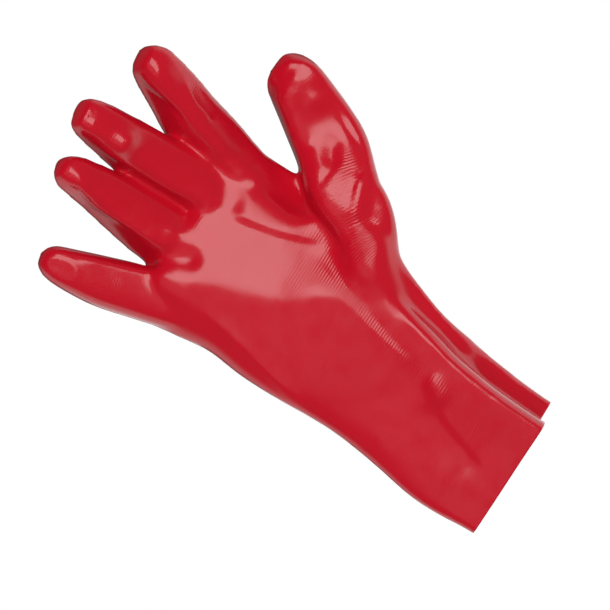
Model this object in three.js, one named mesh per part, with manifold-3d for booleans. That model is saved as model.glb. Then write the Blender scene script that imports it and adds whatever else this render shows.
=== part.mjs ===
// A gauntlet work glove for the right hand: knitted cotton dipped in soft PVC, one piece from the
// rim to the fingertips, hollow all the way in. It has the form that a relaxed hand gives it, with
// the fingers a little spread and curled and the thumb in front of the palm. The loose cuff stands
// off the forearm and is creased along one ridge on the palm side.
//
// The origin is the middle of the cuff's mouth. +Z runs from the mouth to the fingertips, along the
// middle finger, the palm faces -Y and the thumb points to +X. Lengths are in millimetres, angles in
// degrees.

import * as THREE from "three";
import { mergeVertices } from "three/addons/utils/BufferGeometryUtils.js";
import Module from "manifold-3d";

// Driving sizes.
const BODY_LENGTH = 187; // rim to the crotches between the fingers
const MOUTH_WIDTH = 70;
const MOUTH_DEPTH = 68;
const PALM_WIDTH = 92; // across the knuckles, without the thumb
const PALM_DEPTH = 42;
const WALL = 1.3; // coating and liner together
const COATED_PVC = { color: 0xb81a24, roughness: 0.3, metalness: 0 };

// How finely the forms are faceted.
const BODY_RINGS = 24;
const DIGIT_SIDES = 16;
const DIGIT_RINGS = 14;

// The hollow's core runs on past the rim by this much, so that its end opens the mouth.
const MOUTH_OVERRUN = 5;

// Sections of the body, each a smooth closed curve through eight places. up is a share of the body's
// length. The places go round from the ulnar side over the palm side, the cuff's ridge and the radial
// side to the back. Each is [x, y], shares of the width and depth that the row follows.
const MOUTH = { width: MOUTH_WIDTH, depth: MOUTH_DEPTH };
const PALM = { width: PALM_WIDTH, depth: PALM_DEPTH };
const BODY_SECTIONS = [
  {
    up: 0.0, of: MOUTH, ulnar: [-0.505, -0.24], front: [-0.18, -0.43], ridge: [0.34, -0.5],
    side: [0.39, -0.17], radial: [0.49, 0.18], backRadial: [0.3, 0.42], back: [-0.08, 0.49],
    backUlnar: [-0.42, 0.2],
  },
  {
    up: 0.15, of: MOUTH, ulnar: [-0.535, -0.22], front: [-0.18, -0.42], ridge: [0.335, -0.5],
    side: [0.41, -0.18], radial: [0.51, 0.15], backRadial: [0.31, 0.39], back: [-0.07, 0.46],
    backUlnar: [-0.43, 0.18],
  },
  {
    up: 0.27, of: MOUTH, ulnar: [-0.5, -0.19], front: [-0.15, -0.4], ridge: [0.37, -0.49],
    side: [0.48, -0.2], radial: [0.55, 0.11], backRadial: [0.32, 0.34], back: [-0.06, 0.41],
    backUlnar: [-0.4, 0.17],
  },
  {
    up: 0.4, of: MOUTH, ulnar: [-0.475, -0.16], front: [-0.14, -0.39], ridge: [0.42, -0.48],
    side: [0.57, -0.24], radial: [0.61, 0.05], backRadial: [0.38, 0.29], back: [-0.03, 0.35],
    backUlnar: [-0.37, 0.17],
  },
  {
    up: 0.51, of: PALM, ulnar: [-0.355, -0.22], front: [-0.08, -0.66], ridge: [0.35, -0.78],
    side: [0.51, -0.45], radial: [0.56, -0.02], backRadial: [0.35, 0.36], back: [0.0, 0.45],
    backUlnar: [-0.27, 0.24],
  },
  {
    up: 0.62, of: PALM, ulnar: [-0.36, -0.2], front: [-0.09, -0.68], ridge: [0.33, -0.76],
    side: [0.53, -0.47], radial: [0.585, -0.08], backRadial: [0.38, 0.27], back: [0.02, 0.38],
    backUlnar: [-0.26, 0.21],
  },
  {
    up: 0.73, of: PALM, ulnar: [-0.36, -0.2], front: [-0.1, -0.67], ridge: [0.31, -0.7],
    side: [0.54, -0.46], radial: [0.61, -0.13], backRadial: [0.39, 0.21], back: [0.06, 0.32],
    backUlnar: [-0.25, 0.18],
  },
  {
    up: 0.84, of: PALM, ulnar: [-0.35, -0.2], front: [-0.11, -0.63], ridge: [0.3, -0.65],
    side: [0.55, -0.44], radial: [0.635, -0.15], backRadial: [0.41, 0.15], back: [0.09, 0.25],
    backUlnar: [-0.25, 0.14],
  },
  {
    up: 0.93, of: PALM, ulnar: [-0.37, -0.22], front: [-0.13, -0.59], ridge: [0.3, -0.61],
    side: [0.52, -0.44], radial: [0.6, -0.16], backRadial: [0.41, 0.08], back: [0.09, 0.15],
    backUlnar: [-0.26, 0.08],
  },
  {
    up: 0.98, of: PALM, ulnar: [-0.35, -0.24], front: [-0.13, -0.54], ridge: [0.3, -0.57],
    side: [0.49, -0.42], radial: [0.55, -0.2], backRadial: [0.4, 0.0], back: [0.09, 0.05],
    backUlnar: [-0.25, 0.0],
  },
  {
    up: 1.0, of: PALM, ulnar: [-0.28, -0.26], front: [-0.13, -0.4], ridge: [0.28, -0.42],
    side: [0.42, -0.34], radial: [0.45, -0.24], backRadial: [0.36, -0.15], back: [0.09, -0.12],
    backUlnar: [-0.2, -0.15],
  },
];
// How many facets follow each place, up to the next.
const FACETS = {
  ulnar: 6, front: 9, ridge: 4, side: 4, radial: 4, backRadial: 4, back: 4, backUlnar: 5,
};

// Folds and dents of the palm side. The path runs along it as [x, up], shares of the palm's width and
// the body's length. rise is a share of the palm's depth, outwards or, below zero, inwards, and reach
// is how far it fades out on either side, a share of the palm's width.
const FOLDS = [
  { name: "palm ridge", path: [[0.36, 0.75], [0.27, 0.56], [0.17, 0.37]], rise: 0.09, reach: 0.09 },
  { name: "thumb hollow", path: [[0.46, 0.94], [0.42, 0.85], [0.46, 0.71]], rise: -0.14, reach: 0.17 },
  { name: "palm hollow", path: [[0.06, 0.82], [0.1, 0.68]], rise: -0.07, reach: 0.22 },
  { name: "wrist dent", path: [[0.29, 0.45], [0.23, 0.3]], rise: -0.06, reach: 0.07 },
  { name: "cuff fold", path: [[0.08, 0.25], [-0.03, 0.16], [-0.09, 0.06]], rise: 0.05, reach: 0.08 },
];

// The digits. across, ahead and up place the root inside the palm: shares of the palm's width, the
// palm's depth and the body's length. length is along the centreline, in shares of the body's
// length, width and depth are shares of the palm's width. lean is the angle from +Z towards the
// thumb's side and curl the angle from +Z towards the palm side, each at the root and at the tip.
// twist turns the pad towards +X. taper is the tip's size as a share of the middle's.
const DIGITS = [
  {
    name: "little", length: 0.49, width: 0.27, depth: 0.25, across: -0.21, ahead: -0.2, up: 0.802,
    rootLean: -12, tipLean: -12, rootCurl: 6, tipCurl: 26, twist: 6, taper: 0.74,
  },
  {
    name: "ring", length: 0.523, width: 0.285, depth: 0.275, across: -0.005, ahead: -0.2, up: 0.856,
    rootLean: 1, tipLean: 3, rootCurl: 6, tipCurl: 36, twist: 27, taper: 0.66,
  },
  {
    name: "middle", length: 0.563, width: 0.272, depth: 0.27, across: 0.3, ahead: -0.17, up: 0.856,
    rootLean: 0, tipLean: 0, rootCurl: 6, tipCurl: 36, twist: 24, taper: 0.8,
  },
  {
    name: "index", length: 0.518, width: 0.29, depth: 0.27, across: 0.462, ahead: -0.15, up: 0.856,
    rootLean: 8, tipLean: 22, rootCurl: 4, tipCurl: 32, twist: 33, taper: 0.76,
  },
  {
    name: "thumb", length: 0.64, width: 0.36, depth: 0.33, across: 0.35, ahead: -0.36, up: 0.52,
    rootLean: 47, tipLean: 21, rootCurl: 20, tipCurl: 4, twist: -18, taper: 0.8,
  },
];
const FLARE = { rootSize: 0.84, fullAt: 0.35 }; // the root's share of the size, and where it is full
const NARROWS_FROM = 0.45;
const DOME = { from: 0.85, exponent: 2.3 }; // the tip's rounding over the last share of the length
const DIGIT_SQUARENESS = 2.6; // exponent of the section's superellipse

const smoothShare = (at, from, to) => THREE.MathUtils.smoothstep(at, from, to);

// A column's value at a height, on a smooth curve through the rows of the table.
function sample(rows, up, value) {
  const last = rows.length - 1;
  const i = THREE.MathUtils.clamp(rows.findIndex((row) => row.up > up) - 1, 0, last - 1);
  const at = up >= rows[last].up ? last - 1 : i;
  const [a, b] = [rows[at], rows[at + 1]];
  const span = b.up - a.up;
  const share = THREE.MathUtils.clamp((up - a.up) / span, 0, 1);
  const slope = (low, high) => (value(high) - value(low)) / (high.up - low.up);
  const start = at > 0 ? slope(rows[at - 1], b) : slope(a, b);
  const end = at + 1 < last ? slope(a, rows[at + 2]) : slope(a, b);
  const [s2, s3] = [share ** 2, share ** 3];
  return (
    value(a) * (2 * s3 - 3 * s2 + 1) + start * span * (s3 - 2 * s2 + share)
    + value(b) * (3 * s2 - 2 * s3) + end * span * (s3 - s2)
  );
}

// A closed solid through rings of points, each ring with as many points. It closes in a fan at each
// end, on the point given or on the ring's middle.
function loft(rings, tip) {
  const sides = rings[0].length;
  const last = rings.length - 1;
  const middle = (ring) => ring.reduce((sum, p) => sum.add(p), new THREE.Vector3()).divideScalar(sides);
  const points = [...rings.flat(), middle(rings[0]), tip ?? middle(rings[last])];
  const [low, high] = [points.length - 2, points.length - 1];
  const faces = [];
  for (let side = 0; side < sides; side++) {
    const next = (side + 1) % sides;
    faces.push(low, next, side, high, last * sides + side, last * sides + next);
    for (let ring = 0; ring < last; ring++) {
      const [a, b] = [ring * sides + side, ring * sides + next];
      faces.push(a, b, b + sides, a, b + sides, a + sides);
    }
  }
  const geometry = new THREE.BufferGeometry().setFromPoints(points);
  geometry.setIndex(faces);
  return geometry;
}

// Takes a closed form in by the inset, square to its surface.
function takeIn(geometry, inset) {
  geometry.computeVertexNormals();
  const { position, normal } = geometry.attributes;
  const [point, way] = [new THREE.Vector3(), new THREE.Vector3()];
  for (let i = 0; i < position.count; i++) {
    point.fromBufferAttribute(position, i);
    point.addScaledVector(way.fromBufferAttribute(normal, i), -inset);
    position.setXYZ(i, point.x, point.y, point.z);
  }
  return geometry;
}

// How far the folds lift the palm side at a place.
function foldLift(x, height) {
  const here = new THREE.Vector3(x, height, 0);
  const nearest = new THREE.Vector3();
  return FOLDS.reduce((lift, fold) => {
    const path = fold.path.map(
      ([across, up]) => new THREE.Vector3(across * PALM_WIDTH, up * BODY_LENGTH, 0),
    );
    const away = Math.min(
      ...path.slice(1).map((end, i) => {
        new THREE.Line3(path[i], end).closestPointToPoint(here, true, nearest);
        return nearest.distanceTo(here);
      }),
    );
    return lift + fold.rise * PALM_DEPTH * (1 - smoothShare(away, 0, fold.reach * PALM_WIDTH));
  }, 0);
}

function bodyRing(height) {
  const up = height / BODY_LENGTH;
  const corners = Object.keys(FACETS).map(
    (corner) => new THREE.Vector3(
      sample(BODY_SECTIONS, up, (row) => row[corner][0] * row.of.width),
      sample(BODY_SECTIONS, up, (row) => row[corner][1] * row.of.depth),
      height,
    ),
  );
  const outline = new THREE.CatmullRomCurve3(corners, true, "centripetal");
  const ring = Object.values(FACETS).flatMap((count, corner) => Array.from(
    { length: count },
    (_, facet) => outline.getPoint((corner + facet / count) / corners.length),
  ));
  const [front, side] = [corners[1].y, corners[3].y];
  for (const point of ring) {
    point.y -= foldLift(point.x, height) * smoothShare(-point.y, -side, -front);
  }
  return ring;
}

// The body from the given height to the crotches.
function bodyForm(from) {
  const rings = [];
  for (let ring = 0; ring <= BODY_RINGS; ring++) {
    // Rings crowd towards the top, where the form rounds over between the fingers.
    const share = Math.sin((Math.PI / 2) * (ring / BODY_RINGS) ** 0.85);
    rings.push(bodyRing(from + (BODY_LENGTH - from) * share));
  }
  return loft(rings);
}

// Places along a digit's centreline, with the directions of its width, depth and length there.
function digitSpine(digit, count) {
  const point = new THREE.Vector3(
    digit.across * PALM_WIDTH, digit.ahead * PALM_DEPTH, digit.up * BODY_LENGTH,
  );
  const twist = THREE.MathUtils.degToRad(digit.twist);
  const step = (digit.length * BODY_LENGTH) / count;
  const places = [];
  for (let i = 0; i <= count; i++) {
    const share = i / count;
    const lean = THREE.MathUtils.degToRad(THREE.MathUtils.lerp(digit.rootLean, digit.tipLean, share));
    const curl = THREE.MathUtils.degToRad(THREE.MathUtils.lerp(digit.rootCurl, digit.tipCurl, share));
    const length = new THREE.Vector3(
      Math.sin(lean) * Math.cos(curl), -Math.sin(curl), Math.cos(lean) * Math.cos(curl),
    );
    const depth = new THREE.Vector3(0, 1, 0).addScaledVector(length, -length.y).normalize();
    const width = new THREE.Vector3().crossVectors(depth, length);
    width.applyAxisAngle(length, twist);
    depth.applyAxisAngle(length, twist);
    places.push({ point: point.clone(), width, depth });
    point.addScaledVector(length, step);
  }
  return places;
}

// A digit's size at a share of its length, as a share of its full width and depth.
function digitSize(digit, along) {
  const flare = THREE.MathUtils.lerp(FLARE.rootSize, 1, smoothShare(along, 0, FLARE.fullAt));
  const taper = THREE.MathUtils.lerp(1, digit.taper, smoothShare(along, NARROWS_FROM, 1));
  const over = THREE.MathUtils.clamp((along - DOME.from) / (1 - DOME.from), 0, 1);
  return flare * taper * (1 - over ** DOME.exponent) ** (1 / DOME.exponent);
}

function digitForm(digit) {
  const fine = 40;
  const spine = digitSpine(digit, DIGIT_RINGS * fine);
  const rings = [];
  for (let ring = 0; ring < DIGIT_RINGS; ring++) {
    // Rings crowd towards the tip, where the dome turns over.
    const along = Math.sin((Math.PI / 2) * (ring / DIGIT_RINGS));
    const place = spine[Math.round(along * DIGIT_RINGS * fine)];
    const half = (digitSize(digit, along) * PALM_WIDTH) / 2;
    rings.push(
      Array.from({ length: DIGIT_SIDES }, (_, side) => {
        const turn = (2 * Math.PI * side) / DIGIT_SIDES;
        const rounded = (value) => Math.sign(value) * Math.abs(value) ** (2 / DIGIT_SQUARENESS);
        return place.point.clone()
          .addScaledVector(place.width, half * digit.width * rounded(Math.cos(turn)))
          .addScaledVector(place.depth, half * digit.depth * rounded(Math.sin(turn)));
      }),
    );
  }
  return loft(rings, spine[spine.length - 1].point);
}

const wasm = await Module();
wasm.setup();

// A three.js geometry as a solid that can be joined and cut.
function solidOf(geometry) {
  geometry.deleteAttribute("normal");
  const merged = mergeVertices(geometry, 1e-4);
  return new wasm.Manifold(
    new wasm.Mesh({
      numProp: 3,
      vertProperties: new Float32Array(merged.attributes.position.array),
      triVerts: new Uint32Array(merged.index.array),
    }),
  );
}

function geometryOf(solid) {
  const mesh = solid.getMesh();
  const geometry = new THREE.BufferGeometry();
  geometry.setAttribute("position", new THREE.BufferAttribute(mesh.vertProperties, 3));
  geometry.setIndex(new THREE.BufferAttribute(mesh.triVerts, 1));
  geometry.computeVertexNormals();
  return geometry;
}

// The hand's body with its five digits.
const outside = DIGITS.reduce(
  (form, digit) => form.add(solidOf(digitForm(digit))),
  solidOf(bodyForm(0)),
);
const hollow = DIGITS.reduce(
  (form, digit) => form.add(solidOf(takeIn(digitForm(digit), WALL))),
  solidOf(takeIn(bodyForm(-MOUTH_OVERRUN), WALL)),
);

const glove = new THREE.Mesh(
  geometryOf(outside.subtract(hollow)),
  new THREE.MeshStandardMaterial(COATED_PVC),
);
glove.name = "glove";

const part = new THREE.Group();
part.add(glove);

export default part;
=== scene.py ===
"""A right-hand gauntlet work glove of knitted cotton dipped in soft red PVC.

The fingers are a little spread and curled, the thumb stands in front of the palm, and the loose
cuff hangs in folds. Lengths in the tables are millimetres. The middle of the cuff's mouth is the
origin, +Z runs to the fingertips, the palm faces -Y and the thumb points to +X.
"""

import logging
import math
from dataclasses import dataclass, field, fields
from enum import Enum

import bmesh
import bpy
import numpy as np
from mathutils import Matrix, Vector


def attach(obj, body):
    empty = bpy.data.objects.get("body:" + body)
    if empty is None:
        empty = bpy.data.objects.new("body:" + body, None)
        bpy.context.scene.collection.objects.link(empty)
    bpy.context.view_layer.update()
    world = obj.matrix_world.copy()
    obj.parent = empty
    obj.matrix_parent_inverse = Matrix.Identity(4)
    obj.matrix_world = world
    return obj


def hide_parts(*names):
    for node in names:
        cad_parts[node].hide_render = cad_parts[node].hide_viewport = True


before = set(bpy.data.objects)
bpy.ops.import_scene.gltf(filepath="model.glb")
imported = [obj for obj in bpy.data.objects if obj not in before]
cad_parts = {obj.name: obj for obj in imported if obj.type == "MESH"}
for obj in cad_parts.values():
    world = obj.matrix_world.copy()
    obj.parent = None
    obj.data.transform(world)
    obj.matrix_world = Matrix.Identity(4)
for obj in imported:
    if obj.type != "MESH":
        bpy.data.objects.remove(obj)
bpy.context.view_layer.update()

MM = 0.001
# Places of the sockets of a node that mixes two colours.
FIRST_COLOUR, SECOND_COLOUR, MIXED_COLOUR = 6, 7, 2

Path = tuple[tuple[float, float], ...]

log = logging.getLogger("glove")


class Region(Enum):
    """The parts of the glove that a fold can belong to."""

    BODY = 0
    LITTLE = 1
    RING = 2
    MIDDLE = 3
    INDEX = 4
    THUMB = 5


class Profile(Enum):
    """The section of a fold, square to its path."""

    SWELL = "a soft rounded swell or dent"
    RIDGE = "a ridge or groove with a narrow crest"
    STEP = "a step up to the left of the path, which fades out beyond it"
    LEAN = "a band that leans, up on the left of the path and down on its right"


class Wall(Enum):
    """The material slots of the glove's wall."""

    COATING = 0
    LINER = 1
    CUT_EDGE = 2


def linear(colour: str) -> tuple[float, float, float, float]:
    """Turns an sRGB hex colour to linear.

    Args:
        colour: The colour, such as "#C2212E".

    Returns:
        Linear red, green, blue and an alpha of 1.
    """
    values = [int(colour[i:i + 2], 16) / 255 for i in (1, 3, 5)]
    red, green, blue = (
        value / 12.92 if value <= 0.04045 else ((value + 0.055) / 1.055) ** 2.4 for value in values
    )
    return (red, green, blue, 1.0)


def add_node(
    tree: bpy.types.NodeTree, kind: str, settings: dict | None = None, inputs: dict | None = None
) -> bpy.types.Node:
    """Adds a node with its settings, its values and its links.

    Args:
        tree: The node tree that gets the node.
        kind: The node's type, such as "ShaderNodeMath".
        settings: The node's own properties by name.
        inputs: Values or output sockets for its inputs, by name or place.

    Returns:
        The new node.
    """
    node = tree.nodes.new(kind)
    for name, value in (settings or {}).items():
        setattr(node, name, value)
    for name, value in (inputs or {}).items():
        if isinstance(value, bpy.types.NodeSocket):
            tree.links.new(value, node.inputs[name])
        else:
            node.inputs[name].default_value = value
    return node


def smooth_share(value: np.ndarray, low: float, high: float) -> np.ndarray:
    """Rises smoothly from 0 at low to 1 at high.

    Args:
        value: The values to turn.
        low: Where the rise starts.
        high: Where the rise ends.

    Returns:
        The share of the rise at each value.
    """
    share = np.clip((value - low) / (high - low), 0.0, 1.0)
    return share * share * (3.0 - 2.0 * share)


def through(rows: np.ndarray, count: int, closed: bool = False) -> np.ndarray:
    """Runs a smooth curve through the rows of a table.

    Args:
        rows: The rows, one point or set of values each.
        count: How many values are wanted.
        closed: True where the last row joins the first.

    Returns:
        The values at even steps along the curve.
    """
    last = len(rows) if closed else len(rows) - 1
    at = np.linspace(0.0, last, count, endpoint=not closed)
    low = np.minimum(at.astype(int), last - 1)
    share = (at - low).reshape(-1, *[1] * (rows.ndim - 1))

    def row(offset: int) -> np.ndarray:
        """Gives the row that lies that many rows on."""
        index = low + offset
        return rows[index % len(rows)] if closed else rows[np.clip(index, 0, len(rows) - 1)]

    before, start, end, after = (row(offset) for offset in (-1, 0, 1, 2))
    return start + 0.5 * share * (
        end - before
        + share * (
            2 * before - 5 * start + 4 * end - after
            + share * (3 * (start - end) + after - before)
        )
    )


def loft(bm: bmesh.types.BMesh, rings: np.ndarray) -> None:
    """Adds a closed form through rings of points, by extruding a circle ring by ring.

    Args:
        bm: The mesh that gets the form.
        rings: The rings in metres, as rings by points by axes.
    """
    made = bmesh.ops.create_circle(bm, cap_ends=True, segments=rings.shape[1], radius=1.0)
    verts = list(made["verts"])
    edges = list(dict.fromkeys(edge for vert in verts for edge in vert.link_edges))
    for ring_index, ring in enumerate(rings):
        if ring_index:
            fresh = bmesh.ops.extrude_edge_only(bm, edges=edges)["geom"]
            place = {vert: i for i, vert in enumerate(verts)}
            new_verts = [item for item in fresh if isinstance(item, bmesh.types.BMVert)]
            beside = {
                place[edge.other_vert(vert)]: vert
                for vert in new_verts for edge in vert.link_edges if edge.other_vert(vert) in place
            }
            verts = [beside[i] for i in range(len(verts))]
            inside = set(verts)
            edges = [
                item for item in fresh
                if isinstance(item, bmesh.types.BMEdge) and set(item.verts) <= inside
            ]
        for vert, point in zip(verts, ring):
            vert.co = point
    bmesh.ops.contextual_create(bm, geom=edges)


@dataclass(frozen=True)
class Row:
    """One section of the cuff and palm, as places round it from the little finger's side."""

    z: float
    ulnar: tuple[float, float]
    heel: tuple[float, float]
    palm: tuple[float, float]
    ridge: tuple[float, float]
    flank: tuple[float, float]
    notch: tuple[float, float]
    radial: tuple[float, float]
    back_radial: tuple[float, float]
    back: tuple[float, float]
    back_ulnar: tuple[float, float]

    def points(self) -> list[tuple[float, float, float]]:
        """Gives the places in order, with their height."""
        return [(*getattr(self, place.name), self.z) for place in fields(self)[1:]]


@dataclass
class HandBody:
    """The cuff and the palm, one tube from below the rim to the forks between the fingers."""

    rows: tuple[Row, ...]
    sides: int = 90
    rings: int = 80
    marks: int = 40
    least_half: float = 4.0

    def add_to(self, bm: bmesh.types.BMesh) -> None:
        """Adds the body as a closed form.

        Args:
            bm: The mesh that gets it.
        """
        table = np.array([row.points() for row in self.rows])
        heights = through(table, self.rings)
        loft(bm, np.array([through(ring, self.sides, closed=True) for ring in heights]) * MM)

    def centres(self) -> tuple[np.ndarray, np.ndarray]:
        """Measures its sections.

        Returns:
            The sections' middles, and half their width and depth, in millimetres.
        """
        table = through(np.array([row.points() for row in self.rows]), self.marks)
        low, high = table.min(axis=1), table.max(axis=1)
        return (low + high) / 2, np.maximum((high - low)[:, :2] / 2, self.least_half)


@dataclass(frozen=True)
class Station:
    """One section of a digit: its middle, and its width and depth."""

    x: float
    y: float
    z: float
    width: float
    depth: float


@dataclass
class Digit:
    """A finger or the thumb, one tube from inside the palm to the tip."""

    region: Region
    stations: tuple[Station, ...]
    twist: float
    squareness: float
    sides: int = 32
    rings: int = 60

    def spine(self) -> tuple[np.ndarray, np.ndarray, np.ndarray, np.ndarray, np.ndarray]:
        """Works out its sections.

        Returns:
            The middles, the directions of the width, depth and length there, and the sizes.
        """
        rows = np.array([[s.x, s.y, s.z, s.width, s.depth] for s in self.stations])
        table = through(rows, self.rings)
        middles, sizes = table[:, :3], table[:, 3:]
        along = np.gradient(middles, axis=0)
        along /= np.linalg.norm(along, axis=1, keepdims=True)
        depth = np.array([0.0, 1.0, 0.0]) - along * along[:, 1:2]
        depth /= np.linalg.norm(depth, axis=1, keepdims=True)
        width = np.cross(depth, along)
        turn = math.radians(self.twist)
        turned = width * math.cos(turn) + depth * math.sin(turn)
        depth = depth * math.cos(turn) - width * math.sin(turn)
        return middles, turned, depth, along, sizes

    def add_to(self, bm: bmesh.types.BMesh) -> None:
        """Adds the digit as a closed form.

        Args:
            bm: The mesh that gets it.
        """
        middles, width, depth, _, sizes = self.spine()
        turn = np.linspace(0.0, 2 * math.pi, self.sides, endpoint=False)
        power = 2.0 / self.squareness
        across = np.sign(np.cos(turn)) * np.abs(np.cos(turn)) ** power / 2
        deep = np.sign(np.sin(turn)) * np.abs(np.sin(turn)) ** power / 2
        rings = (
            middles[:, None]
            + (sizes[:, 0, None] * across)[..., None] * width[:, None]
            + (sizes[:, 1, None] * deep)[..., None] * depth[:, None]
        )
        loft(bm, rings * MM)


@dataclass(frozen=True)
class Fold:
    """A fold, crease or dent in the palm's side, drawn along a path on the picture plane."""

    name: str
    regions: tuple[Region, ...]
    profile: Profile
    path: Path
    width: float
    height: float
    fade: float = 0.2
    # The fade starts this share of the length before the ends, so that a little lift is left there.
    fade_start: float = -0.03
    # A step rises over one width and then fades over this many.
    step_tail: float = 4.0
    # Every other profile has died away at this many widths.
    round_reach: float = 4.0
    steps: int = 6

    def reach(self) -> float:
        """Gives how far from its path the fold still lifts the skin."""
        stepped = self.profile is Profile.STEP
        return self.width * (2 * self.step_tail + 1 if stepped else self.round_reach)

    def lift(self, points: np.ndarray) -> np.ndarray:
        """Works out how far the fold lifts each point.

        Args:
            points: The points' x and z on the picture plane, in millimetres.

        Returns:
            The lift in millimetres.
        """
        path = through(np.array(self.path, float), self.steps * len(self.path))
        start, step = path[:-1], np.diff(path, axis=0)
        length = np.linalg.norm(step, axis=1)
        offset = points[:, None] - start
        share = np.clip((offset * step).sum(-1) / length ** 2, 0.0, 1.0)
        away = offset - share[..., None] * step
        distance = np.linalg.norm(away, axis=2)
        nearest = distance.argmin(axis=1)
        row = np.arange(len(points))
        gap, beside, way = distance[row, nearest], away[row, nearest], step[nearest]
        along = (np.cumsum(length) - length)[nearest] + share[row, nearest] * length[nearest]
        along /= length.sum()
        inwards = np.minimum(along, 1.0 - along)
        ends = smooth_share(inwards, self.fade_start, self.fade) if self.fade else 1.0
        relative = gap / self.width
        if self.profile is Profile.SWELL:
            shape = np.exp(-relative ** 2)
        elif self.profile is Profile.RIDGE:
            shape = 1.0 / (1.0 + relative ** 2) ** 2
        else:
            left = way[:, 0] * beside[:, 1] - way[:, 1] * beside[:, 0] > 0
            side = np.where(left, relative, -relative)
            if self.profile is Profile.STEP:
                tail = np.exp(-(np.maximum(side, 0.0) / self.step_tail) ** 2)
                shape = smooth_share(side, -0.5, 0.5) * tail
            else:
                shape = side * np.exp(-side ** 2)
        return self.height * ends * shape


@dataclass(frozen=True)
class DippedPvc:
    """Plasticised PVC, dipped over knit and fused, the glove's coating."""

    colour: str = "#CC1228"
    deep_colour: str = "#C20E22"
    tone_size: float = 45.0
    roughness: float = 0.17
    gloss_size: float = 7.0
    gloss_noise: tuple[float, float] = (0.3, 0.7)
    gloss_spread: tuple[float, float] = (-0.04, 0.05)
    ior: float = 1.53
    row_pitch: float = 1.35
    row_height: float = 0.065
    patch_size: float = 16.0
    patch_noise: tuple[float, float] = (0.48, 0.66)
    patch_share: tuple[float, float] = (0.02, 0.16)
    grain_size: float = 0.9
    grain_height: float = 0.02
    peel_size: float = 14.0
    peel_height: float = 0.06

    def build(self) -> bpy.types.Material:
        """Makes the material.

        Returns:
            The coating's material.
        """
        # To the eye: an even, full red under a wet gloss, a little wavy, with knit rows in places.
        material = bpy.data.materials.new("dipped_pvc")
        material.use_nodes = True
        tree = material.node_tree
        shader = tree.nodes["Principled BSDF"]
        place = add_node(tree, "ShaderNodeTexCoord").outputs["Object"]
        tone_noise, gloss_noise, patch_noise, grain_noise, peel_noise = (
            add_node(
                tree, "ShaderNodeTexNoise", inputs={"Vector": place, "Scale": 1 / (size * MM)}
            ).outputs["Fac"]
            for size in (
                self.tone_size, self.gloss_size, self.patch_size, self.grain_size, self.peel_size
            )
        )
        # The dip runs a little thicker in places, which deepens its red.
        tone = add_node(
            tree, "ShaderNodeMix", {"data_type": "RGBA"},
            {
                "Factor": tone_noise,
                FIRST_COLOUR: linear(self.colour), SECOND_COLOUR: linear(self.deep_colour),
            },
        )
        tree.links.new(tone.outputs[MIXED_COLOUR], shader.inputs["Base Color"])
        # The rows of the knit, square to each digit's length, which show where the dip is thin.
        course = add_node(tree, "ShaderNodeAttribute", {"attribute_name": "course"}).outputs["Fac"]
        turns = add_node(
            tree, "ShaderNodeMath", {"operation": "MULTIPLY"},
            {0: course, 1: 2 * math.pi / self.row_pitch},
        )
        rows = add_node(tree, "ShaderNodeMath", {"operation": "SINE"}, {0: turns.outputs[0]})
        patches = add_node(
            tree, "ShaderNodeMapRange", {"interpolation_type": "SMOOTHSTEP"},
            {
                "Value": patch_noise,
                "From Min": self.patch_noise[0], "From Max": self.patch_noise[1],
                "To Min": self.patch_share[0], "To Max": self.patch_share[1],
            },
        )
        thin = add_node(tree, "ShaderNodeAttribute", {"attribute_name": "thin"}).outputs["Fac"]
        share = add_node(
            tree, "ShaderNodeMath", {"operation": "ADD", "use_clamp": True},
            {0: patches.outputs["Result"], 1: thin},
        )
        shown = add_node(
            tree, "ShaderNodeMath", {"operation": "MULTIPLY"},
            {0: rows.outputs[0], 1: share.outputs[0]},
        )
        # The slow waves of the dip's skin, then its fine grain, then the knit under it.
        bumps = (
            (peel_noise, self.peel_height),
            (grain_noise, self.grain_height),
            (shown.outputs[0], self.row_height),
        )
        relief = {}
        for height, distance in bumps:
            bump = add_node(
                tree, "ShaderNodeBump",
                inputs={"Height": height, "Distance": distance * MM} | relief,
            )
            relief = {"Normal": bump.outputs["Normal"]}
        tree.links.new(relief["Normal"], shader.inputs["Normal"])
        gloss = add_node(
            tree, "ShaderNodeMapRange",
            inputs={
                "Value": gloss_noise,
                "From Min": self.gloss_noise[0], "From Max": self.gloss_noise[1],
                "To Min": self.roughness + self.gloss_spread[0],
                "To Max": self.roughness + self.gloss_spread[1],
            },
        )
        tree.links.new(gloss.outputs["Result"], shader.inputs["Roughness"])
        shader.inputs["IOR"].default_value = self.ior
        return material


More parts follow.
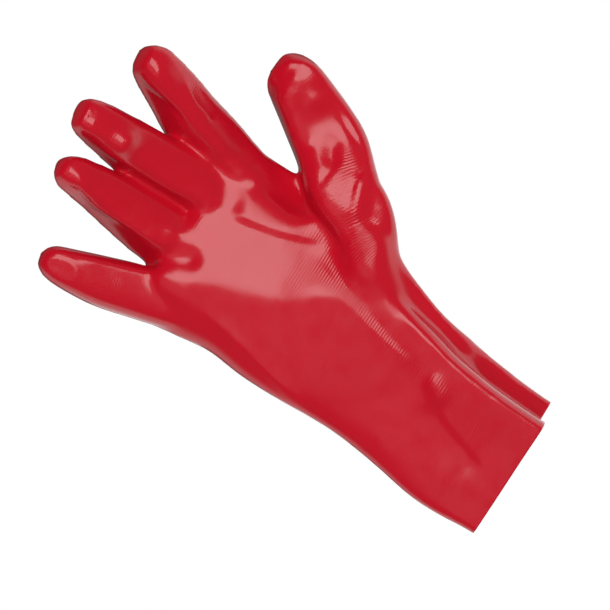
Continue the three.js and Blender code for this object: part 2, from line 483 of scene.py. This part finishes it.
@dataclass(frozen=True)
class KnittedCotton:
    """Unbleached interlock cotton, knitted and bonded to the dip, the glove's liner."""

    colour: str = "#E6DCC8"
    stain: str = "#D9A79B"
    stain_size: float = 25.0
    roughness: float = 0.9
    sheen: float = 0.25
    rib_count: int = 176
    row_pitch: float = 1.35
    loop_share: float = 0.4
    height: float = 0.25

    def build(self) -> bpy.types.Material:
        """Makes the material.

        Returns:
            The liner's material.
        """
        # To the eye: matt and ribbed, cream, with a pink stain where the dip has soaked in.
        material = bpy.data.materials.new("knitted_cotton")
        material.use_nodes = True
        tree = material.node_tree
        shader = tree.nodes["Principled BSDF"]
        place = add_node(tree, "ShaderNodeTexCoord").outputs["Object"]
        split = add_node(tree, "ShaderNodeSeparateXYZ", inputs={0: place}).outputs
        # Ribs run up the glove, so they are counted round it by angle.
        angle = add_node(
            tree, "ShaderNodeMath", {"operation": "ARCTAN2"}, {0: split["Y"], 1: split["X"]}
        )
        ribs = add_node(
            tree, "ShaderNodeMath", {"operation": "MULTIPLY"},
            {0: angle.outputs[0], 1: float(self.rib_count)},
        )
        rib = add_node(tree, "ShaderNodeMath", {"operation": "COSINE"}, {0: ribs.outputs[0]})
        rows = add_node(
            tree, "ShaderNodeMath", {"operation": "MULTIPLY"},
            {0: split["Z"], 1: 2 * math.pi / (self.row_pitch * MM)},
        )
        loops = add_node(tree, "ShaderNodeMath", {"operation": "SINE"}, {0: rows.outputs[0]})
        knit = add_node(
            tree, "ShaderNodeMath", {"operation": "MULTIPLY_ADD"},
            {0: loops.outputs[0], 1: self.loop_share, 2: rib.outputs[0]},
        )
        bump = add_node(
            tree, "ShaderNodeBump",
            inputs={"Height": knit.outputs[0], "Distance": self.height * MM},
        )
        tree.links.new(bump.outputs["Normal"], shader.inputs["Normal"])
        stains = add_node(
            tree, "ShaderNodeTexNoise",
            inputs={"Vector": place, "Scale": 1 / (self.stain_size * MM), "Detail": 4.0},
        )
        tone = add_node(
            tree, "ShaderNodeMix", {"data_type": "RGBA"},
            {
                "Factor": stains.outputs["Fac"],
                FIRST_COLOUR: linear(self.colour), SECOND_COLOUR: linear(self.stain),
            },
        )
        tree.links.new(tone.outputs[MIXED_COLOUR], shader.inputs["Base Color"])
        shader.inputs["Roughness"].default_value = self.roughness
        shader.inputs["Sheen Weight"].default_value = self.sheen
        return material


@dataclass(frozen=True)
class CutEdge:
    """Dipped PVC and cotton cut through together, the glove's raw rim."""

    colour: str = "#A81420"
    fibre: str = "#CC8F86"
    fibre_size: float = 0.667
    fibre_spots: tuple[float, float] = (0.5, 0.75)
    fibre_share: float = 0.6
    roughness: float = 0.6

    def build(self) -> bpy.types.Material:
        """Makes the material.

        Returns:
            The rim's material.
        """
        # To the eye: a thin dull red line with pale fibre ends in it.
        material = bpy.data.materials.new("cut_edge")
        material.use_nodes = True
        tree = material.node_tree
        shader = tree.nodes["Principled BSDF"]
        place = add_node(tree, "ShaderNodeTexCoord").outputs["Object"]
        fibres = add_node(
            tree, "ShaderNodeTexNoise",
            inputs={"Vector": place, "Scale": 1 / (self.fibre_size * MM), "Detail": 3.0},
        )
        share = add_node(
            tree, "ShaderNodeMapRange",
            inputs={
                "Value": fibres.outputs["Fac"],
                "From Min": self.fibre_spots[0], "From Max": self.fibre_spots[1],
                "To Max": self.fibre_share,
            },
        )
        tone = add_node(
            tree, "ShaderNodeMix", {"data_type": "RGBA"},
            {
                "Factor": share.outputs["Result"],
                FIRST_COLOUR: linear(self.colour), SECOND_COLOUR: linear(self.fibre),
            },
        )
        tree.links.new(tone.outputs[MIXED_COLOUR], shader.inputs["Base Color"])
        shader.inputs["Roughness"].default_value = self.roughness
        return material


BODY = HandBody(rows=(
    Row(
        -8, (-35.8, -27), (-28.5, -32), (4, -33.5), (20.8, -35.2), (24.6, -25),
        (24.2, -1.5), (34.4, 4), (27, 24), (-5.5, 33.5), (-30, 14),
    ),
    Row(
        4, (-36.1, -26), (-28.5, -31.5), (4, -33.5), (20.8, -35.2), (24.6, -25),
        (24.2, -2), (34.4, 3.5), (27, 24), (-5.5, 33.3), (-30, 14),
    ),
    Row(
        16, (-37.3, -24), (-29.5, -30.5), (4, -33), (21, -35.2), (24.8, -25),
        (24.5, -4), (35, 1.5), (27, 23), (-5.2, 32), (-30.5, 13.5),
    ),
    Row(
        28, (-37.8, -22.5), (-30, -30), (4, -32.8), (21.6, -35.2), (25.4, -25),
        (25.1, -7), (36, -2.5), (27, 22), (-5, 31), (-30.5, 13),
    ),
    Row(
        39, (-36.8, -21), (-29.2, -29), (4, -32.6), (22.7, -35), (26.7, -24.8),
        (26.5, -10.5), (37.2, -6), (27, 21), (-4.5, 29.5), (-29, 12.5),
    ),
    Row(
        50, (-35, -19.5), (-28, -28), (5, -32.4), (24.1, -34.6), (28.4, -24.8),
        (29.4, -17), (38.7, -11.5), (29, 18), (-4, 28), (-27.5, 12),
    ),
    Row(
        65, (-33, -17), (-27, -27), (6, -31.8), (27.4, -33.8), (32.3, -24.6),
        (34.3, -20.5), (40.8, -16.5), (31, 15), (-3, 25.5), (-26, 11.5),
    ),
    Row(
        80, (-31.8, -16), (-26.5, -26.5), (8, -31.8), (30.4, -32.8), (35.6, -26),
        (39.2, -23.3), (45.3, -19.5), (34, 13), (-1, 22), (-25, 11),
    ),
    Row(
        96, (-32.3, -15.5), (-26.5, -26.5), (9, -32), (31, -32.8), (37.8, -33),
        (46, -28.5), (51.4, -20), (37, 11), (0, 19), (-24.5, 10),
    ),
    Row(
        112, (-33.2, -15), (-27, -26.5), (13, -31.5), (29, -31), (40.5, -34.4),
        (56.5, -31.4), (61, -18), (36, 9.5), (2, 16.5), (-24.5, 9),
    ),
    Row(
        130, (-33.5, -14.5), (-26.5, -27), (7, -30.7), (41, -24.2), (47.5, -28.5),
        (55, -27.3), (59, -6), (36, 9), (4, 14.5), (-24, 8),
    ),
    Row(
        148, (-32.1, -14.5), (-25.5, -26.5), (-1, -30.4), (36, -23.3), (44.5, -17),
        (51, -12), (58.3, -6), (38, 7), (7, 11), (-23.5, 5.5),
    ),
    Row(
        164, (-34.4, -14), (-26, -25.5), (-6, -29.8), (36, -21.8), (45, -16),
        (51.5, -12), (58.8, -6), (39, 5.5), (8, 8), (-23.5, 2.5),
    ),
    Row(
        178, (-36, -12), (-23, -27), (-10, -29.2), (36, -20.8), (44, -16),
        (50.5, -12), (57.3, -7), (38, 3), (8, 4.5), (-24, -1),
    ),
    Row(
        187, (-31, -12), (-22, -24.5), (-10, -27.5), (35, -19.8), (42, -15),
        (46, -11), (48, -4), (37, 1), (8, 1), (-22, -4.5),
    ),
    Row(
        190, (-24, -12), (-18, -18), (-8, -21.5), (33, -15.5), (37, -12.5),
        (39, -10), (41, -6), (33, -4), (8, -5), (-18, -9),
    ),
))

DIGITS = (
    Digit(Region.LITTLE, twist=6.0, squareness=3.0, stations=(
        Station(-16, -12, 146, 20, 20),
        Station(-21.5, -13, 168, 23.4, 23.4),
        Station(-27.2, -16, 190.4, 24.4, 24.2),
        Station(-32.2, -20, 207.2, 23, 23.1),
        Station(-35.8, -26, 223.6, 18.5, 18.5),
        Station(-36.6, -29.5, 231.5, 14.6, 13.8),
        Station(-36.7, -31.5, 236, 7.5, 6.5),
    )),
    Digit(Region.RING, twist=28.0, squareness=4.0, stations=(
        Station(0, -9, 158, 22.5, 23.5),
        Station(0.6, -11, 180, 24, 26),
        Station(1.2, -15, 200, 24.6, 27),
        Station(2, -20, 214.7, 22.2, 25),
        Station(2.8, -27, 229.1, 18.8, 22),
        Station(2.7, -33, 238.5, 16.2, 19),
        Station(2.3, -38, 246.2, 14.2, 15),
        Station(2.2, -41, 251.2, 8.5, 7.5),
    )),
    Digit(Region.MIDDLE, twist=26.0, squareness=4.0, stations=(
        Station(27.5, -6, 158, 22.5, 23.5),
        Station(27.7, -8.5, 180, 24, 26),
        Station(27.8, -13, 200.1, 24.6, 27),
        Station(27.4, -18, 214.8, 23.8, 26.5),
        Station(27.4, -25, 229.2, 22, 24.5),
        Station(27.8, -33, 242.4, 19.4, 20.5),
        Station(27.8, -38, 249.9, 17.8, 17),
        Station(27.8, -41.5, 254.8, 15.4, 12.6),
        Station(27.8, -43, 256.8, 11.5, 7.5),
    )),
    Digit(Region.INDEX, twist=34.0, squareness=4.0, stations=(
        Station(41, -4, 158, 20.7, 21.8),
        Station(46.8, -7, 184.5, 23, 24),
        Station(50.4, -10, 199.3, 23.6, 25.5),
        Station(53.7, -15, 213.2, 23.2, 26),
        Station(58.8, -22, 225.6, 21, 23.8),
        Station(64, -32, 240, 17.9, 19),
        Station(65.3, -36.5, 244.9, 13.2, 13.2),
        Station(65.6, -38, 246.8, 8, 7),
    )),
    Digit(Region.THUMB, twist=4.0, squareness=5.0, stations=(
        Station(37, -13, 92, 12, 14),
        Station(43, -14.5, 102, 19, 22),
        Station(50.5, -15, 113, 26, 27),
        Station(58.6, -17.4, 124.2, 30.5, 29),
        Station(65.1, -16.6, 136.7, 33, 28.5),
        Station(77, -10.8, 150.6, 33.6, 28.5),
        Station(83.5, -10, 161.3, 31.8, 27.5),
        Station(89.4, -12.5, 172.4, 28.8, 25.5),
        Station(94.7, -17.5, 183.4, 25, 21.5),
        Station(96, -21, 188.8, 18, 14.5),
        Station(96.2, -24, 191.2, 9, 7),
    )),
)

HAND = (Region.BODY, Region.LITTLE, Region.RING, Region.MIDDLE, Region.INDEX)
BASE = (Region.BODY, Region.THUMB)

FOLDS = (
    # The palm's long crease, its life line and the loose folds that run down the cuff.
    Fold(
        "palm_crease", HAND, Profile.STEP,
        ((25.5, 176), (28, 163), (31, 150), (35, 139), (39, 129)), 4.5, 1.4,
    ),
    Fold(
        "life_line", BASE, Profile.STEP,
        ((13, 58), (15.5, 68), (17.5, 80), (20.5, 93), (24.5, 107), (29, 120), (33, 132)), 4.4, 0.8,
    ),
    Fold("wrist_bump", BASE, Profile.SWELL, ((8.5, 46), (11.5, 51)), 4.2, 2.2, 0.0),
    Fold(
        "cuff_fold", BASE, Profile.STEP,
        ((-10, 8), (-7.5, 15), (-5, 23), (-2.5, 32), (1, 41), (6, 46)), 3.4, -1.5,
    ),
    Fold(
        "ulnar_fold", BASE, Profile.RIDGE,
        ((-18, 162), (-21, 142), (-26, 118), (-29.5, 98)), 3.0, 1.2,
    ),
    Fold("ring_root_dent", HAND, Profile.SWELL, ((-6, 187), (-2, 180)), 5.0, -1.6, 0.0),
    # The little finger's edge and the dimple in its tip.
    Fold(
        "little_edge", (Region.LITTLE, Region.BODY), Profile.RIDGE,
        ((-30, 225), (-25, 211), (-20, 197), (-14, 184)), 2.4, 0.9,
    ),
    Fold(
        "little_dimple", (Region.LITTLE,), Profile.SWELL,
        ((-38.5, 230), (-38, 226)), 3.2, -0.9, 0.0,
    ),
    # The ring finger's edge, where its face turns to its side.
    Fold(
        "ring_edge", (Region.RING,), Profile.RIDGE,
        (
            (4, 250), (1.5, 243), (-1.5, 237), (-3.5, 230),
            (-3.5, 222), (-3, 208), (-3.5, 192),
        ), 2.0, 1.2,
    ),
    Fold("ring_face", (Region.RING,), Profile.SWELL, ((5, 234), (4, 215)), 4.0, -0.7, 0.0),
    Fold("ring_root", HAND, Profile.SWELL, ((5, 193), (6, 189)), 3.5, 0.9, 0.0),
    # The middle finger's edges and its pinched tip.
    Fold(
        "middle_edge", (Region.MIDDLE,), Profile.RIDGE,
        ((20.5, 250), (20.5, 236), (21, 215), (22, 195)), 2.0, 0.9,
    ),
    Fold(
        "middle_pad", (Region.MIDDLE,), Profile.SWELL,
        ((29, 243), (28, 237), (26, 226)), 6.5, 2.9, 0.6,
    ),
    Fold(
        "middle_tip", (Region.MIDDLE,), Profile.RIDGE,
        ((22.5, 256), (28.5, 257.3), (35, 257)), 1.2, 0.6,
    ),
    Fold(
        "middle_pinch", (Region.MIDDLE,), Profile.RIDGE,
        ((23, 254), (28, 255), (34, 254.5)), 1.2, -0.6,
    ),
    # The forefinger's edge and the wrinkles at its joint and root.
    Fold(
        "index_edge", (Region.INDEX,), Profile.STEP,
        (
            (59.5, 251), (57, 241), (56, 232), (54.5, 222),
            (51, 210), (48, 198), (45.5, 187),
        ), 3.0, 1.4,
    ),
    Fold(
        "index_joint", (Region.INDEX,), Profile.RIDGE,
        ((67, 228), (63, 222), (60, 216), (58, 206)), 2.4, 1.0,
    ),
    Fold("index_root_upper", HAND, Profile.RIDGE, ((46.5, 188), (49.5, 183), (53, 178)), 1.1, 0.5),
    Fold("index_root_lower", HAND, Profile.RIDGE, ((44.5, 184), (47, 179.5), (50, 175)), 1.1, 0.5),
    # The thumb's folds round its joint, the crease on its outer side and the rim of its tip.
    Fold(
        "thumb_crease", (Region.THUMB, Region.BODY), Profile.RIDGE,
        (
            (97, 164), (93, 155.5), (88.5, 146), (84.5, 138.5),
            (78, 134.5), (70, 134), (62, 131), (56, 128),
        ), 1.5, -1.0,
    ),
    Fold(
        "thumb_rim", (Region.THUMB,), Profile.RIDGE,
        ((83, 189), (88, 193), (94, 193.6), (100, 191.5), (104, 186), (105, 180)), 1.3, 0.6,
    ),
    Fold("thumb_pad", (Region.THUMB,), Profile.SWELL, ((93, 171), (94, 169)), 4.0, 1.2, 0.0),
    Fold("thumb_nail", (Region.THUMB,), Profile.SWELL, ((97, 185), (96.5, 184)), 2.4, 0.7, 0.0),
    Fold(
        "thumb_joint", (Region.THUMB,), Profile.RIDGE,
        ((60, 147.5), (68, 147), (76, 147.5)), 1.8, -0.6,
    ),
    Fold(
        "cuff_ridge", BASE, Profile.RIDGE,
        ((21, -8), (21.1, 12), (22, 30), (24, 48), (27.8, 66), (30.8, 82)), 1.3, 0.9, 0.1,
    ),
    Fold(
        "thumb_fall", (Region.THUMB, Region.BODY), Profile.LEAN,
        ((55, 121), (66, 125), (78, 131)), 6.0, 2.4,
    ),
    Fold("thumb_hollow", (Region.THUMB,), Profile.SWELL, ((75, 150), (80, 152.5)), 3.6, -1.0, 0.0),
)

# Where the dip lies thin on the knit, so that its rows show through.
THIN = (
    Fold("thenar_rows", BASE, Profile.SWELL, ((46, 113), (56, 124)), 7.0, 0.9, 0.0),
    Fold("joint_rows", BASE, Profile.SWELL, ((43, 129), (49, 135)), 5.0, 0.8, 0.0),
    Fold(
        "life_line_rows", BASE, Profile.SWELL,
        ((14, 62), (18, 82), (22, 98), (30, 124)), 5.0, 0.8, 0.0,
    ),
    Fold("palm_rows", BASE, Profile.SWELL, ((10, 132), (24, 136), (34, 144)), 8.0, 0.5, 0.0),
    Fold("thumb_rows", BASE, Profile.SWELL, ((55, 140), (66, 138), (76, 141)), 4.0, 0.15, 0.0),
    Fold("cuff_rows", BASE, Profile.SWELL, ((4, 18), (6, 34), (12, 52)), 7.0, 0.6, 0.0),
)


@dataclass
class Glove:
    """The whole glove: a dipped shell with its liner, cut open at the rim."""

    body: HandBody
    digits: tuple[Digit, ...]
    folds: tuple[Fold, ...]
    thin: tuple[Fold, ...]
    voxel: float = 1.42
    wall: float = 1.3
    first_smoothing: int = 7
    last_smoothing: int = 2
    # Put back all round when the folds are raised, for what the smoothing takes off.
    regain: float = 0.35
    # The middle of the picture plane, and how far off it is seen from.
    middle: tuple[float, float] = (9.9, 122.2)
    viewing: float = 1415.0
    # How a point is shared between the body and the digits.
    body_step: float = 12.0
    least_radius: float = 6.0
    least_gap: float = 0.05
    sharpness: int = 6
    # Where folds begin and end as the skin turns from the palm's side to the back.
    palm_turn: tuple[float, float] = (-0.25, 0.15)
    coating: DippedPvc = field(default_factory=DippedPvc)
    liner: KnittedCotton = field(default_factory=KnittedCotton)
    edge: CutEdge = field(default_factory=CutEdge)

    def blank(self) -> bpy.types.Mesh:
        """Joins the body and the digits in one even skin.

        Returns:
            The skin's mesh.
        """
        bm = bmesh.new()
        self.body.add_to(bm)
        for digit in self.digits:
            digit.add_to(bm)
        bmesh.ops.recalc_face_normals(bm, faces=bm.faces)
        mesh = bpy.data.meshes.new("blank")
        bm.to_mesh(mesh)
        bm.free()
        blank = bpy.data.objects.new("blank", mesh)
        bpy.context.scene.collection.objects.link(blank)
        even = blank.modifiers.new("even", "REMESH")
        even.mode = "VOXEL"
        even.voxel_size = self.voxel * MM
        made = blank.evaluated_get(bpy.context.evaluated_depsgraph_get())
        skin = bpy.data.meshes.new_from_object(made)
        bpy.data.objects.remove(blank)
        bpy.data.meshes.remove(mesh)
        return skin

    def relax(self, mesh: bpy.types.Mesh, times: int) -> None:
        """Smooths the skin as a whole.

        Args:
            mesh: The skin.
            times: How many times it is smoothed.
        """
        bm = bmesh.new()
        bm.from_mesh(mesh)
        for _ in range(times):
            bmesh.ops.smooth_vert(
                bm, verts=bm.verts, factor=0.5, use_axis_x=True, use_axis_y=True, use_axis_z=True
            )
        bm.to_mesh(mesh)
        bm.free()

    def points(self, mesh: bpy.types.Mesh) -> np.ndarray:
        """Reads the skin's points.

        Args:
            mesh: The skin.

        Returns:
            The points in millimetres.
        """
        points = np.zeros(len(mesh.vertices) * 3)
        mesh.vertices.foreach_get("co", points)
        return points.reshape(-1, 3) / MM

    def normals(self, mesh: bpy.types.Mesh) -> np.ndarray:
        """Reads the skin's directions outwards at its points.

        Args:
            mesh: The skin.

        Returns:
            The directions, each of length 1.
        """
        normals = np.zeros(len(mesh.vertices) * 3)
        mesh.vertex_normals.foreach_get("vector", normals)
        return normals.reshape(-1, 3)

    def facing(self, normals: np.ndarray) -> np.ndarray:
        """Gives how far each point faces the palm's side, from 0 to 1."""
        return smooth_share(-normals[:, 1], *self.palm_turn)

    def regions(self, points: np.ndarray) -> tuple[np.ndarray, np.ndarray]:
        """Finds what each point belongs to, and how far along the knit it lies.

        Args:
            points: The skin's points in millimetres.

        Returns:
            The region's number at each point, and the length from the rim along the knit.
        """
        distances, lengths = [], []
        middles, halves = self.body.centres()
        offset = (points[:, None, :2] - middles[:, :2]) / halves
        rise = (points[:, None, 2:] - middles[:, 2:]) / self.body_step
        distances.append(np.linalg.norm(np.concatenate([offset, rise], axis=2), axis=2).min(axis=1))
        lengths.append(points[:, 2])
        for digit in self.digits:
            middles, _, _, _, sizes = digit.spine()
            steps = np.linalg.norm(np.diff(middles, axis=0), axis=1)
            along = middles[0, 2] + np.concatenate([[0.0], np.cumsum(steps)])
            radii = np.maximum(sizes.mean(axis=1) / 2, self.least_radius)
            gap = np.linalg.norm(points[:, None] - middles, axis=2) / radii
            nearest = gap.argmin(axis=1)
            distances.append(gap[np.arange(len(points)), nearest])
            ways = np.gradient(middles, along, axis=0)[nearest]
            lengths.append(along[nearest] + ((points - middles[nearest]) * ways).sum(axis=1))
        distances = np.array(distances)
        weights = 1.0 / np.maximum(distances, self.least_gap) ** self.sharpness
        course = (weights * np.array(lengths)).sum(axis=0) / weights.sum(axis=0)
        return distances.argmin(axis=0), course

    def seen(self, points: np.ndarray) -> np.ndarray:
        """Projects points on the picture plane, where nearer points lie further from the middle.

        Args:
            points: The points in millimetres.

        Returns:
            Their x and z on the picture plane.
        """
        nearness = self.viewing / (self.viewing + points[:, 1:2])
        return self.middle + (points[:, [0, 2]] - self.middle) * nearness

    def sculpt(self, mesh: bpy.types.Mesh) -> None:
        """Raises the folds and presses the creases and dents into the skin.

        Args:
            mesh: The skin.
        """
        points, normals = self.points(mesh), self.normals(mesh)
        regions, _ = self.regions(points)
        seen, facing = self.seen(points), self.facing(normals)
        lift = np.full(len(points), self.regain)
        for fold in self.folds:
            low = np.min(fold.path, axis=0) - fold.reach()
            high = np.max(fold.path, axis=0) + fold.reach()
            here = np.isin(regions, [region.value for region in fold.regions])
            here &= np.all((seen > low) & (seen < high), axis=1)
            lift[here] += fold.lift(seen[here]) * facing[here]
        points += normals * lift[:, None]
        mesh.vertices.foreach_set("co", (points * MM).ravel())
        mesh.update()

    def trim(self, mesh: bpy.types.Mesh) -> None:
        """Cuts the skin off straight at the rim, which leaves the mouth open.

        Args:
            mesh: The skin.
        """
        bm = bmesh.new()
        bm.from_mesh(mesh)
        bmesh.ops.bisect_plane(
            bm, geom=bm.verts[:] + bm.edges[:] + bm.faces[:], dist=1e-6,
            plane_co=(0, 0, 0), plane_no=(0, 0, 1), clear_inner=True,
        )
        bm.to_mesh(mesh)
        bm.free()

    def dress(self, mesh: bpy.types.Mesh) -> None:
        """Gives the skin its materials and the attributes that its knit follows.

        Args:
            mesh: The skin.
        """
        finishes = {Wall.COATING: self.coating, Wall.LINER: self.liner, Wall.CUT_EDGE: self.edge}
        for part in Wall:
            mesh.materials.append(finishes[part].build())
        points = self.points(mesh)
        seen, facing = self.seen(points), self.facing(self.normals(mesh))
        _, course = self.regions(points)
        thin = facing * np.max([spot.lift(seen) for spot in self.thin], axis=0)
        for name, values in (("course", course), ("thin", thin)):
            mesh.attributes.new(name, "FLOAT", "POINT").data.foreach_set("value", values)
        mesh.shade_smooth()

    def build(self) -> bpy.types.Object:
        """Makes the glove and hangs it on the frame.

        Returns:
            The glove's object.
        """
        mesh = self.blank()
        mesh.name = "glove"
        self.relax(mesh, self.first_smoothing)
        self.sculpt(mesh)
        self.relax(mesh, self.last_smoothing)
        self.trim(mesh)
        self.dress(mesh)
        glove = bpy.data.objects.new("dipped_glove", mesh)
        bpy.context.scene.collection.objects.link(glove)
        shell = glove.modifiers.new("wall", "SOLIDIFY")
        shell.thickness = self.wall * MM
        shell.offset = -1.0
        shell.material_offset = Wall.LINER.value
        shell.material_offset_rim = Wall.CUT_EDGE.value
        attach(glove, "root")
        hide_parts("glove")
        log.info("glove: %d faces before its wall gets thickness", len(mesh.polygons))
        return glove


@dataclass(frozen=True)
class Softbox:
    """A studio light with a square, even face."""

    name: str
    toward: tuple[float, float, float]
    distance: float
    size: tuple[float, float]
    radiance: float
    mirrored: bool = True

    def build(self, aim: Vector) -> bpy.types.Object:
        """Hangs the light so that it faces the glove.

        Args:
            aim: The point that it faces.

        Returns:
            The light's object.
        """
        data = bpy.data.lights.new(self.name, "AREA")
        data.shape = "RECTANGLE"
        data.size, data.size_y = self.size
        # A light's energy spreads over its face and a half sphere of directions.
        data.energy = self.radiance * self.size[0] * self.size[1] * math.pi
        light = bpy.data.objects.new(self.name, data)
        direction = Vector(self.toward).normalized()
        light.location = aim + direction * self.distance
        light.rotation_euler = direction.to_track_quat("Z", "Y").to_euler()
        light.visible_glossy = self.mirrored
        bpy.context.scene.collection.objects.link(light)
        return light


@dataclass(frozen=True)
class Fade:
    """A smooth change of the room's brightness from one place to another, by direction."""

    axis: str
    start: float
    end: float
    first: float
    last: float


@dataclass
class Studio:
    """The pale room, its lights and the camera."""

    aim: Vector = field(default_factory=lambda: Vector((9.9, 0.0, 122.2)) * MM)
    distance: float = 1.415
    lens: float = 177.64
    film: float = 36.0
    roll: float = 57.0
    # The key's face shows in the gloss. The fill lights the palm without showing in it.
    softboxes: tuple[Softbox, ...] = (
        Softbox("key", (0.382, -0.908, 0.172), 1.6, (0.9, 0.9), 3.3),
        Softbox("fill", (-0.1, -1.0, 0.15), 2.4, (2.0, 2.0), 3.2, mirrored=False),
    )
    # Dim in front of the palm, dim behind the back, and dim overhead.
    fades: tuple[Fade, ...] = (
        Fade("Y", -0.35, 0.2, 0.12, 1.0),
        Fade("Y", 0.45, 0.9, 1.0, 0.15),
        Fade("Z", 0.2, 0.7, 1.0, 0.15),
    )
    floor_half: float = 12.0
    floor_front: float = -0.06
    floor_height: float = -0.15
    floor_colour: str = "#F3F3F3"
    floor_roughness: float = 0.9
    # The floor is lit through from below, as pale as the wall behind.
    floor_glow: float = 0.87
    white: str = "#FFFFFF"

    def camera(self) -> None:
        """Sets the camera square to the palm, turned so that the glove lies across the picture."""
        data = bpy.data.cameras.new("camera")
        data.lens = self.lens
        data.sensor_width = self.film
        camera = bpy.data.objects.new("camera", data)
        roll = math.radians(self.roll)
        right = Vector((math.cos(roll), 0.0, -math.sin(roll)))
        up = Vector((math.sin(roll), 0.0, math.cos(roll)))
        back = Vector((0.0, -1.0, 0.0))
        turn = Matrix((right, up, back)).transposed()
        camera.matrix_world = Matrix.Translation(self.aim + back * self.distance) @ turn.to_4x4()
        bpy.context.scene.collection.objects.link(camera)
        bpy.context.scene.camera = camera

    def floor(self) -> None:
        """Lays the plain pale floor, below the rim."""
        bm = bmesh.new()
        bmesh.ops.create_grid(bm, x_segments=2, y_segments=2, size=self.floor_half)
        place = (0.0, self.floor_front + self.floor_half, self.floor_height)
        bmesh.ops.translate(bm, verts=bm.verts, vec=place)
        mesh = bpy.data.meshes.new("floor")
        bm.to_mesh(mesh)
        bm.free()
        material = bpy.data.materials.new("pale_floor")
        material.use_nodes = True
        shader = material.node_tree.nodes["Principled BSDF"]
        shader.inputs["Base Color"].default_value = linear(self.floor_colour)
        shader.inputs["Roughness"].default_value = self.floor_roughness
        shader.inputs["Specular IOR Level"].default_value = 0.0
        shader.inputs["Emission Color"].default_value = linear(self.white)
        shader.inputs["Emission Strength"].default_value = self.floor_glow
        mesh.materials.append(material)
        floor = bpy.data.objects.new("floor", mesh)
        bpy.context.scene.collection.objects.link(floor)

    def room(self) -> None:
        """Makes the room: white to look at, and brightest at the sides and low down."""
        world = bpy.data.worlds.new("room")
        bpy.context.scene.world = world
        world.use_nodes = True
        tree = world.node_tree
        tree.nodes.clear()
        way = add_node(tree, "ShaderNodeTexCoord").outputs["Generated"]
        along = add_node(tree, "ShaderNodeSeparateXYZ", inputs={0: way}).outputs
        glow = 1.0
        for fade in self.fades:
            part = add_node(
                tree, "ShaderNodeMapRange", {"interpolation_type": "SMOOTHSTEP"},
                {
                    "Value": along[fade.axis], "From Min": fade.start, "From Max": fade.end,
                    "To Min": fade.first, "To Max": fade.last,
                },
            )
            glow = add_node(
                tree, "ShaderNodeMath", {"operation": "MULTIPLY"},
                {0: glow, 1: part.outputs["Result"]},
            ).outputs[0]
        looked_at = add_node(tree, "ShaderNodeLightPath").outputs["Is Camera Ray"]
        lit, plain = (
            add_node(
                tree, "ShaderNodeBackground",
                inputs={"Color": linear(self.white), "Strength": strength},
            ).outputs[0]
            for strength in (glow, 1.0)
        )
        both = add_node(tree, "ShaderNodeMixShader", inputs={0: looked_at, 1: lit, 2: plain})
        add_node(tree, "ShaderNodeOutputWorld", inputs={"Surface": both.outputs[0]})

    def build(self) -> None:
        """Sets the room, the lights and the camera."""
        self.room()
        self.floor()
        for softbox in self.softboxes:
            softbox.build(self.aim)
        self.camera()
        bpy.context.scene.view_settings.view_transform = "Standard"


def main() -> None:
    """Builds the glove and its studio, and logs the glove's face count and the body it rides on."""
    logging.basicConfig(level=logging.INFO, format="%(name)s: %(message)s")
    glove = Glove(BODY, DIGITS, FOLDS, THIN).build()
    log.info("%s rides on the root body", glove.name)
    Studio().build()


if __name__ == "__main__":
    main()
